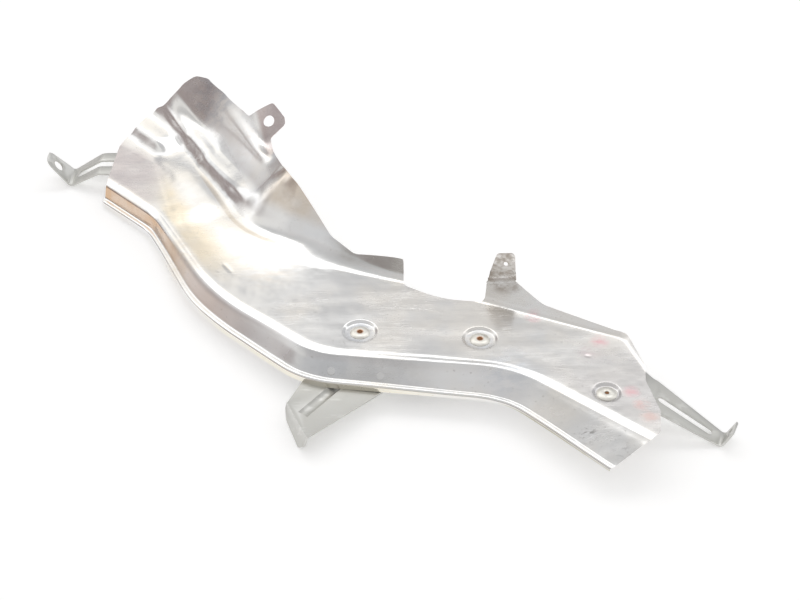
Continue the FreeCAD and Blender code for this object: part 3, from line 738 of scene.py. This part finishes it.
def add_bracket(name, node, material):
    """Copy of a bracket's solid with its sharp sheared edges broken."""
    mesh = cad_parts[node].data.copy()
    mesh.name = name
    build = bmesh.new()
    build.from_mesh(mesh)
    bmesh.ops.remove_doubles(build, verts=build.verts, dist=SOLID_MERGE_DISTANCE)
    bmesh.ops.dissolve_limit(build, angle_limit=FLAT_ANGLE, verts=build.verts, edges=build.edges)
    build.to_mesh(mesh)
    build.free()
    piece = add_object(name, mesh, material, node)
    bevel = piece.modifiers.new("broken_edges", "BEVEL")
    bevel.width = EDGE_BREAK * MM
    bevel.segments = 2
    bevel.limit_method = "ANGLE"
    bevel.angle_limit = math.radians(BREAK_ANGLE)
    bevel.harden_normals = True


class Graph:
    """Short way to lay out the nodes of a material or of the world."""

    def __init__(self, tree):
        self.nodes = tree.nodes
        self.links = tree.links

    def add(self, kind, inputs, **settings):
        node = self.nodes.new(kind)
        for name, value in settings.items():
            setattr(node, name, value)
        for name, value in inputs.items():
            if isinstance(value, bpy.types.NodeSocket):
                self.links.new(value, node.inputs[name])
            else:
                node.inputs[name].default_value = value
        return node

    def math(self, operation, first, second=0.0):
        return self.add("ShaderNodeMath", {0: first, 1: second}, operation=operation).outputs[0]

    def times(self, first, second):
        return self.math("MULTIPLY", first, second)

    def total(self, values):
        result = values[0]
        for value in values[1:]:
            result = self.math("ADD", result, value)
        return result

    def span(self, value, low, high, to_low=0.0, to_high=1.0):
        """Smooth change of a value from one range to another."""
        inputs = {"Value": value, "From Min": low, "From Max": high, "To Min": to_low, "To Max": to_high}
        return self.add("ShaderNodeMapRange", inputs, interpolation_type="SMOOTHSTEP").outputs["Result"]

    def mix(self, share, first, second, blend="MIX"):
        node = self.add("ShaderNodeMix", {0: share}, data_type="RGBA", blend_type=blend)
        for socket, value in ((node.inputs[6], first), (node.inputs[7], second)):
            if isinstance(value, bpy.types.NodeSocket):
                self.links.new(value, socket)
            else:
                socket.default_value = (*value, 1)
        return node.outputs[2]

    def wash(self, colour, mask, share, tint):
        """Colour with a tint laid over it by a share of a mask."""
        return self.mix(self.times(mask, share), colour, tint)

    def place(self):
        """Position on the object in millimetres."""
        spot = self.nodes.new("ShaderNodeTexCoord").outputs["Object"]
        return self.add("ShaderNodeVectorMath", {0: spot, "Scale": 1 / MM}, operation="SCALE").outputs[0]

    def stretched(self, vector, angle, stretch):
        """Position turned about Z and squeezed along its new X, for marks that run one way."""
        inputs = {"Vector": vector, "Rotation": (0, 0, math.radians(angle)), "Scale": (1 / stretch, 1, 1)}
        return self.add("ShaderNodeMapping", inputs, vector_type="POINT").outputs[0]

    def noise(self, vector, size, detail=3.0, roughness=0.55):
        """Noise whose lumps are about a size in millimetres."""
        inputs = {"Vector": vector, "Scale": 1 / size, "Detail": detail, "Roughness": roughness}
        return self.add("ShaderNodeTexNoise", inputs).outputs["Fac"]

    def hairlines(self, vector, size, width):
        """Thin wandering lines, where a noise passes its middle."""
        middle = self.math("SUBTRACT", self.noise(vector, size, detail=2), 0.5)
        return self.span(self.math("ABSOLUTE", middle), 0.0, width, 1.0, 0.0)

    def near(self, vector, spot, inner, outer):
        """Mask round a spot of the panel, given in the panel's frame."""
        world = (REST @ Vector(spot)) / MM
        away = self.add("ShaderNodeVectorMath", {0: vector, 1: world}, operation="DISTANCE").outputs["Value"]
        return self.span(away, inner, outer, 1.0, 0.0)


def new_material(name):
    material = bpy.data.materials.new(name)
    material.use_nodes = True
    return material, Graph(material.node_tree), material.node_tree.nodes["Principled BSDF"]


def bumped(graph, shader, layers):
    """Stacks height layers of (height, depth in millimetres) into the shader's normal."""
    normal = None
    for height, depth in layers:
        inputs = {"Height": height, "Strength": 1.0, "Distance": depth * MM}
        if normal:
            inputs["Normal"] = normal
        normal = graph.add("ShaderNodeBump", inputs).outputs["Normal"]
    graph.links.new(normal, shader.inputs["Normal"])


# Painted reflections and shade on the sheet: light and dark colours laid over zones of the wall, hem, fold,
# plate and wing for the light and dark they mirror. The stations and the rows where each starts, is full, starts to
# go and is gone, then its colour and share.
PAINTED_REFLECTIONS = [
    ((-1.0, -0.9, 1.35, 1.75), (15, 19, 28, 32), (0.64, 0.42, 0.25), 0.9),
    ((1.3, 1.7, 2.0, 2.6), (15, 19, 26, 32), (0.84, 0.73, 0.66), 0.7),
    ((1.2, 1.6, 2.3, 2.8), (25, 28, 31, 34), (0.50, 0.46, 0.45), 0.55),
    ((2.75, 3.0, 3.4, 3.7), (15, 19, 30, 34), (0.52, 0.52, 0.53), 0.7),
    ((3.9, 4.2, 6.0, 6.1), (-2, -1, 4, 8), (0.40, 0.38, 0.28), 0.75),
    ((1.9, 2.3, 3.4, 3.8), (-2, -1, 5, 9), (0.92, 0.87, 0.74), 0.8),
    ((2.45, 2.65, 3.1, 3.2), (70, 78, 119, 120), (0.50, 0.49, 0.47), 0.8),
    ((0.95, 1.05, 1.5, 1.56), (103, 106, 119, 120), (0.54, 0.46, 0.45), 0.9),
    ((1.75, 2.0, 2.3, 2.6), (88, 96, 119, 120), (0.70, 0.60, 0.49), 0.75),
    ((-1.0, -0.9, 0.75, 1.1), (38, 46, 62, 68), (0.66, 0.61, 0.62), 0.85),
    ((3.9, 4.4, 6.0, 6.1), (40, 48, 66, 70), (0.72, 0.70, 0.69), 0.8),
    ((-1.0, -0.9, 0.9, 1.2), (95, 101, 119, 120), (0.52, 0.54, 0.58), 0.7),
    ((0.9, 1.15, 1.7, 2.2), (42, 48, 56, 63), (0.90, 0.79, 0.60), 0.7),
    ((1.15, 1.35, 2.0, 2.5), (71.5, 72.5, 73.5, 75), (0.66, 0.58, 0.48), 0.65),
]

# A station and a row that no painted reflection or shade of the sheet reaches, for the small tab.
UNTINTED_STATION = 3.4
UNTINTED_ROW = PLATE_ROW + 20

# Zones of the sheet that handling has dulled: stations and rows as above, and the roughness added.
DULLED = [
    ((1.1, 1.5, 2.5, 3.0), (14, 17, 32, 35), 0.3),
    ((0.9, 1.0, 1.65, 1.8), (87, 90, 100, 104), 0.2),
]

# Stains, and painted shade and dark reflections: place in the panel's frame, inner and outer radius, colour and
# share.
STAINS_AND_PAINTED_SHADE = [
    ((-150, 60, 0), 10, 42, (0.86, 0.78, 0.66), 0.45),
    ((-96, 40, 2), 10, 36, (0.84, 0.76, 0.66), 0.4),
    ((-112, 152, 36), 8, 30, (0.66, 0.56, 0.50), 0.25),
    # Painted dark reflection: darker bluish grey high on the wing near its upper corner.
    ((-150, 205, 42), 10, 34, (0.50, 0.52, 0.56), 0.6),
    ((92, -19, 0), 1, 8, (0.85, 0.48, 0.52), 0.75),
    ((135, -45, 0), 1, 9, (0.85, 0.48, 0.52), 0.7),
    ((127, -56, 0), 2, 12, (0.62, 0.52, 0.53), 0.55),
    ((151, -96, 0), 1, 8, (0.86, 0.46, 0.50), 0.6),
    ((156, -108, 0), 1, 8, (0.84, 0.50, 0.46), 0.55),
    ((160, -120, 0), 1, 9, (0.80, 0.52, 0.46), 0.5),
    # Painted dark reflection: the small tab is laid over in full with brown grey, as it faces the dark front.
    ((73, 6, 22), 12, 20, (0.48, 0.43, 0.38), 1.0),
    # Painted shade in the rivet seats: darker bluish grey rings round the three rivets.
    ((-27.3, -34, -1), 8, 13, (0.66, 0.69, 0.74), 0.6),
    ((54.3, -41.5, -1), 8, 13, (0.66, 0.69, 0.74), 0.6),
    ((134.9, -96.3, -1), 8, 11, (0.62, 0.62, 0.64), 0.6),
    # Bluish grey patch on the fold bend near its corner at station 4.
    ((72, -72, -4), 6, 26, (0.62, 0.66, 0.72), 0.45),
]
# Dark scuffs (place, inner and outer radius) and the round weld marks on the wall.
SCUFFS = [((141, -140, -12), 3, 10), ((146, -148, -12), 2, 9), ((121, -128, -9), 2, 9)]
WELDS = [(-46.2, -66.3, -8.0), (-13.3, -71.4, -8.0)]
WELD_RADII = (2.4, 3.2)

# Marks that run one way: angles of the rolling lines, smears and scuffs, and angle and size of scratches.
ROLLING_ANGLE = 20
SMEAR_ANGLE = 24
SCUFF_ANGLE = -35
SCRATCHES = [(12, 7), (-50, 9), (75, 8)]

SHEET_DARK = (0.80, 0.80, 0.80)
SHEET_LIGHT = (0.93, 0.93, 0.93)
WARM_CLOUD = (0.87, 0.83, 0.77)
SCUFF_GREY = (0.22, 0.21, 0.20)
WELD_WHITE = (0.96, 0.96, 0.95)
SPECK_BROWN = (0.40, 0.37, 0.34)

STEEL_DARK = (0.52, 0.52, 0.49)
STEEL_LIGHT = (0.72, 0.71, 0.67)
SPANGLE_BLUE = (0.60, 0.62, 0.64)
STEEL_RUST = (0.42, 0.33, 0.25)
RUBBED_STEEL = (0.82, 0.82, 0.80)
WORN_STEEL = (0.90, 0.90, 0.88)

RIVET_DARK = (0.74, 0.72, 0.66)
RIVET_LIGHT = (0.92, 0.90, 0.85)
NICK_BROWN = (0.45, 0.42, 0.38)
HALO_RUST = (0.42, 0.17, 0.06)
HALO_HEIGHT = -0.4
HALO_RADII = (1.6, 2.9)
CRUST_DARK = (0.16, 0.07, 0.03)
CRUST_LIGHT = (0.42, 0.20, 0.08)


def aluminium_sheet():
    """Bright rolled aluminium with rolling lines, dull clouds, painted reflections and shade, stains, scuffs and
    hair scratches.
    """
    material, graph, shader = new_material("shield_aluminium")
    place = graph.place()
    rolled = graph.stretched(place, ROLLING_ANGLE, stretch=14)
    clouds = graph.noise(place, size=60, detail=5)
    smears = graph.noise(graph.stretched(place, SMEAR_ANGLE, stretch=5), size=14, detail=4)
    lines = graph.noise(rolled, size=0.9, detail=2)
    broad_lines = graph.noise(rolled, size=4)
    dents = graph.noise(place, size=22, detail=2)
    grain = graph.noise(place, size=0.5, detail=2)
    scratched = graph.span(graph.noise(place, size=35), 0.5, 0.62)
    scratches = graph.total([
        graph.times(graph.hairlines(graph.stretched(place, angle, stretch=9), size, width=0.012), scratched)
        for angle, size in SCRATCHES
    ])
    smudges = graph.noise(graph.stretched(place, SMEAR_ANGLE, stretch=2), size=6, detail=5, roughness=0.7)
    patches = graph.span(smudges, 0.38, 0.62, 0.15, 1.0)
    broken = graph.span(graph.noise(place, size=24, detail=4), 0.3, 0.6, 0.65, 1.0)
    station = graph.add("ShaderNodeAttribute", {}, attribute_name="station").outputs["Fac"]
    row = graph.add("ShaderNodeAttribute", {}, attribute_name="row").outputs["Fac"]

    def zone(lengthwise, across, share):
        """Mask of a span of stations and rows."""
        mask = share
        for value, (start, full, going, gone) in ((station, lengthwise), (row, across)):
            mask = graph.times(mask, graph.span(value, start, full))
            mask = graph.times(mask, graph.span(value, gone, going))
        return mask

    colour = graph.mix(smears, SHEET_DARK, SHEET_LIGHT)
    colour = graph.mix(graph.span(clouds, 0.42, 0.7, 0.0, 0.7), colour, WARM_CLOUD)
    # Painted reflections and shade: light and dark colours laid over zones of the sheet by station and row.
    for lengthwise, across, tint, share in PAINTED_REFLECTIONS:
        colour = graph.wash(colour, zone(lengthwise, across, share), broken, tint)
    # Stains, with painted shade in the rivet seats and painted dark reflections on the small tab and high on the
    # wing.
    stain_and_shade_masks = []
    for spot, inner, outer, tint, share in STAINS_AND_PAINTED_SHADE:
        stain_and_shade_masks.append(graph.times(graph.times(graph.near(place, spot, inner, outer), patches), share))
        colour = graph.mix(stain_and_shade_masks[-1], colour, tint)
    breakup = graph.noise(graph.stretched(place, SCUFF_ANGLE, stretch=3), size=3, detail=4, roughness=0.7)
    breakup = graph.span(breakup, 0.5, 0.58)
    scuffed = []
    for spot, inner, outer in SCUFFS:
        scuffed.append(graph.times(graph.near(place, spot, inner, outer), breakup))
        colour = graph.wash(colour, scuffed[-1], 0.75, SCUFF_GREY)
    welds = graph.total([graph.near(place, spot, *WELD_RADII) for spot in WELDS])
    colour = graph.wash(colour, welds, 0.35, WELD_WHITE)
    specks = graph.span(graph.noise(place, size=1.6, detail=1), 0.70, 0.76)
    colour = graph.wash(colour, specks, 0.35, SPECK_BROWN)
    graph.links.new(colour, shader.inputs["Base Color"])
    shader.inputs["Metallic"].default_value = 1.0

    roughness = graph.total([
        graph.span(clouds, 0.3, 0.7, 0.13, 0.25),
        graph.span(smears, 0.35, 0.7, -0.02, 0.07),
        graph.times(graph.total(stain_and_shade_masks), 0.16),
        graph.times(graph.total(scuffed), 0.2),
        graph.times(scratches, 0.08),
        graph.times(welds, 0.12),
        *(zone(lengthwise, across, added) for lengthwise, across, added in DULLED),
    ])
    graph.links.new(roughness, shader.inputs["Roughness"])
    bumped(graph, shader, [
        (dents, 0.35), (broad_lines, 0.03), (lines, 0.006), (grain, 0.004),
        (graph.times(scratches, -1.0), 0.01), (welds, 0.08),
    ])
    return material


def coated_steel():
    """Dull zinc-coated strap steel with brushed grain, grey clouds, rub marks and bright edges."""
    material, graph, shader = new_material("bracket_steel")
    place = graph.place()
    clouds = graph.noise(place, size=26, detail=5, roughness=0.6)
    grain = graph.noise(graph.stretched(place, -30, stretch=10), size=0.8)
    spangle = graph.noise(place, size=2.2, detail=2)
    rubs = graph.span(graph.noise(graph.stretched(place, 35, stretch=4), size=6, detail=4), 0.58, 0.66)
    rust = graph.span(graph.noise(place, size=7, detail=5, roughness=0.7), 0.66, 0.78)
    worn = graph.span(graph.add("ShaderNodeNewGeometry", {}).outputs["Pointiness"], 0.52, 0.60)
    colour = graph.mix(clouds, STEEL_DARK, STEEL_LIGHT)
    colour = graph.wash(colour, spangle, 0.25, SPANGLE_BLUE)
    colour = graph.wash(colour, rust, 0.4, STEEL_RUST)
    colour = graph.wash(colour, rubs, 0.3, RUBBED_STEEL)
    colour = graph.wash(colour, worn, 0.6, WORN_STEEL)
    graph.links.new(colour, shader.inputs["Base Color"])
    shader.inputs["Metallic"].default_value = 0.9
    roughness = graph.total([
        graph.span(clouds, 0.3, 0.7, 0.38, 0.55), graph.times(rust, 0.2), graph.times(rubs, -0.1),
    ])
    graph.links.new(roughness, shader.inputs["Roughness"])
    bumped(graph, shader, [(clouds, 0.1), (grain, 0.012), (spangle, 0.01), (rust, 0.02)])
    return material


def satin_rivet():
    """Tumbled rivet aluminium, a little creamy, with nicks and rust round the first two mandrels."""
    material, graph, shader = new_material("rivet_satin")
    place = graph.place()
    clouds = graph.noise(place, size=5, detail=4, roughness=0.6)
    grain = graph.noise(place, size=0.4, detail=2)
    nicks = graph.span(graph.noise(place, size=1.5, roughness=0.7), 0.62, 0.7)
    halo = graph.total([graph.near(place, (x, y, HALO_HEIGHT), *HALO_RADII) for x, y in RIVETS[:2]])
    colour = graph.mix(clouds, RIVET_DARK, RIVET_LIGHT)
    colour = graph.wash(colour, nicks, 0.5, NICK_BROWN)
    colour = graph.wash(colour, halo, 0.9, HALO_RUST)
    graph.links.new(colour, shader.inputs["Base Color"])
    shader.inputs["Metallic"].default_value = 1.0
    graph.links.new(graph.span(clouds, 0.3, 0.7, 0.30, 0.46), shader.inputs["Roughness"])
    bumped(graph, shader, [(clouds, 0.08), (grain, 0.01), (graph.times(nicks, -1.0), 0.04)])
    return material


def rusty_stem():
    """Broken steel mandrel end, brown with rust."""
    material, graph, shader = new_material("mandrel_rust")
    crust = graph.noise(graph.place(), size=0.7, detail=5, roughness=0.7)
    graph.links.new(graph.mix(crust, CRUST_DARK, CRUST_LIGHT), shader.inputs["Base Color"])
    shader.inputs["Metallic"].default_value = 0.25
    graph.links.new(graph.span(crust, 0.3, 0.7, 0.6, 0.9), shader.inputs["Roughness"])
    bumped(graph, shader, [(crust, 0.12)])
    return material


# The stage: pale paper floor, a long soft light above the back, and the camera at the photograph's angle.
FLOOR_SIZE = 12
FLOOR_GLOW = 0.3
PAPER_DARK = (0.93, 0.93, 0.93)
PAPER_LIGHT = (0.95, 0.95, 0.95)
SOFTBOX_PLACE = Vector((0.0, 1.0, 1.43))
SOFTBOX_TARGET = Vector((0, 0, 0))
SOFTBOX_SIZE = (2.0, 0.7)
SOFTBOX_POWER = 2
LENS = 70
SENSOR = 36
NEAR_CLIP = 0.05
CAMERA_DISTANCE = 1088.9
CAMERA_ELEVATION = math.radians(38.5)

# Studio walls as seen from the part: share of the half circle from the back, over the top, to the front.
STUDIO = [
    (0.0, (0.58, 0.58, 0.59)), (0.17, (0.60, 0.60, 0.61)), (0.225, (0.63, 0.625, 0.62)),
    (0.248, (0.95, 0.95, 0.94)), (0.275, (1.35, 1.35, 1.35)), (0.345, (1.35, 1.35, 1.35)),
    (0.39, (0.66, 0.66, 0.66)), (0.45, (0.60, 0.60, 0.60)), (0.60, (0.66, 0.65, 0.65)),
    (0.72, (0.72, 0.73, 0.74)), (0.80, (0.55, 0.54, 0.52)), (1.0, (0.50, 0.48, 0.45)),
]

# Patches of the studio's left side: each is a product of fades along axes of the direction, given by
# the value where it is gone and the value where it is full.
DARK_FRONT = [("y", 0.26, 0.08), ("z", 0.56, 0.42), ("x", -0.52, -0.66)]
DARK_LOW = [("x", -0.35, -0.60), ("z", 0.34, 0.18)]
GLOW = [("x", -0.04, -0.14), ("x", -0.62, -0.45), ("z", 0.42, 0.52), ("y", 0.3, 0.5)]
PALE_TOP = [("z", 0.50, 0.60), ("y", -0.40, -0.20), ("x", -0.60, -0.70)]
LEFT_GLOW = (1.15, 1.12, 1.06)
LEFT_PALE = (0.86, 0.85, 0.83)
LEFT_DARK = (0.36, 0.31, 0.30)


def add_floor():
    bpy.ops.mesh.primitive_plane_add(size=FLOOR_SIZE)
    floor = bpy.context.object
    floor.name = "floor"
    material, graph, shader = new_material("floor_paper")
    fibres = graph.noise(graph.place(), size=3)
    graph.links.new(graph.mix(fibres, PAPER_DARK, PAPER_LIGHT), shader.inputs["Base Color"])
    shader.inputs["Roughness"].default_value = 0.95
    shader.inputs["Specular IOR Level"].default_value = 0.0
    shader.inputs["Emission Color"].default_value = (1, 1, 1, 1)
    shader.inputs["Emission Strength"].default_value = FLOOR_GLOW
    floor.data.materials.append(material)


def add_world():
    """Soft studio: a bright strip high at the back, grey walls, and light and dark patches at the left."""
    world = bpy.data.worlds.new("studio")
    bpy.context.scene.world = world
    world.use_nodes = True
    graph = Graph(world.node_tree)
    direction = graph.nodes.new("ShaderNodeTexCoord").outputs["Generated"]
    x, y, z = graph.add("ShaderNodeSeparateXYZ", {0: direction}).outputs
    axes = {"x": x, "y": y, "z": z}

    def patch(fades):
        """Mask of a patch of the studio."""
        mask = 1.0
        for axis, gone, full in fades:
            mask = graph.times(mask, graph.span(axes[axis], gone, full))
        return mask

    share = graph.math("DIVIDE", graph.math("ARCTAN2", graph.math("MAXIMUM", z, 0.0), y), math.pi)
    ramp = graph.add("ShaderNodeValToRGB", {"Fac": share})
    stops = ramp.color_ramp.elements
    for k, (position, colour) in enumerate(STUDIO):
        stop = stops[k] if k < 2 else stops.new(position)
        stop.position = position
        stop.color = (*colour, 1)
    light = graph.mix(patch(GLOW), ramp.outputs["Color"], LEFT_GLOW, "LIGHTEN")
    light = graph.mix(patch(PALE_TOP), light, LEFT_PALE, "LIGHTEN")
    light = graph.mix(graph.math("MAXIMUM", patch(DARK_FRONT), patch(DARK_LOW)), light, LEFT_DARK)
    background = world.node_tree.nodes["Background"]
    graph.links.new(light, background.inputs["Color"])
    background.inputs["Strength"].default_value = 1.0


def add_softbox():
    light = bpy.data.lights.new("softbox", "AREA")
    light.shape = "RECTANGLE"
    light.size, light.size_y = SOFTBOX_SIZE
    light.energy = SOFTBOX_POWER
    lamp = bpy.data.objects.new("softbox", light)
    bpy.context.scene.collection.objects.link(lamp)
    lamp.location = SOFTBOX_PLACE
    lamp.rotation_euler = (SOFTBOX_TARGET - SOFTBOX_PLACE).to_track_quat("-Z", "Y").to_euler()


def add_camera():
    """Camera that looks at the panel's origin, placed in the panel's frame."""
    camera = bpy.data.cameras.new("camera")
    camera.lens = LENS
    camera.sensor_width = SENSOR
    camera.clip_start = NEAR_CLIP
    viewer = bpy.data.objects.new("camera", camera)
    bpy.context.scene.collection.objects.link(viewer)
    back = -CAMERA_DISTANCE * math.cos(CAMERA_ELEVATION)
    place = Vector((0, back, CAMERA_DISTANCE * math.sin(CAMERA_ELEVATION)))
    look = (-place).to_track_quat("-Z", "Y").to_matrix().to_4x4()
    viewer.matrix_world = Matrix.Translation(REST @ place) @ REST_TURN @ look
    bpy.context.scene.camera = viewer


def add_panel():
    """The pressed panel with its small tab, given its thickness, with crisp cut edges."""
    points, faces, stations, rows = sheet_mesh()
    tab_points, tab_faces = tab_mesh()
    faces += [[len(points) + k for k in face] for face in tab_faces]
    marks = {
        "station": stations + [UNTINTED_STATION] * len(tab_points),
        "row": rows + [UNTINTED_ROW] * len(tab_points),
    }
    panel = add_piece(
        "shield_sheet", points + tab_points, faces, aluminium_sheet(), "shield_panel", "shield", marks)
    gauge = panel.modifiers.new("gauge", "SOLIDIFY")
    gauge.thickness = GAUGE * MM
    gauge.offset = -1
    thick = bpy.data.meshes.new_from_object(panel.evaluated_get(bpy.context.evaluated_depsgraph_get()))
    panel.modifiers.clear()
    panel.data = thick
    thick.name = "shield_sheet"
    thick.set_sharp_from_angle(angle=math.radians(CRISP_ANGLE))


add_panel()
steel = coated_steel()
for side in ("left", "right", "lower"):
    add_bracket(side + "_strap", side + "_bracket", steel)
rivets = lathe(RIVET_PROFILE, RIVETS, RIVET_POINTS)
add_piece("rivet_set", *rivets, satin_rivet(), "rivet_bodies", "rivet")
mandrels = lathe(MANDREL_PROFILE, RIVETS, MANDREL_POINTS)
add_piece("mandrel_set", *mandrels, rusty_stem(), "rivet_mandrels", "mandrel")

add_floor()
add_world()
add_softbox()
add_camera()
bpy.context.scene.view_settings.view_transform = "Standard"
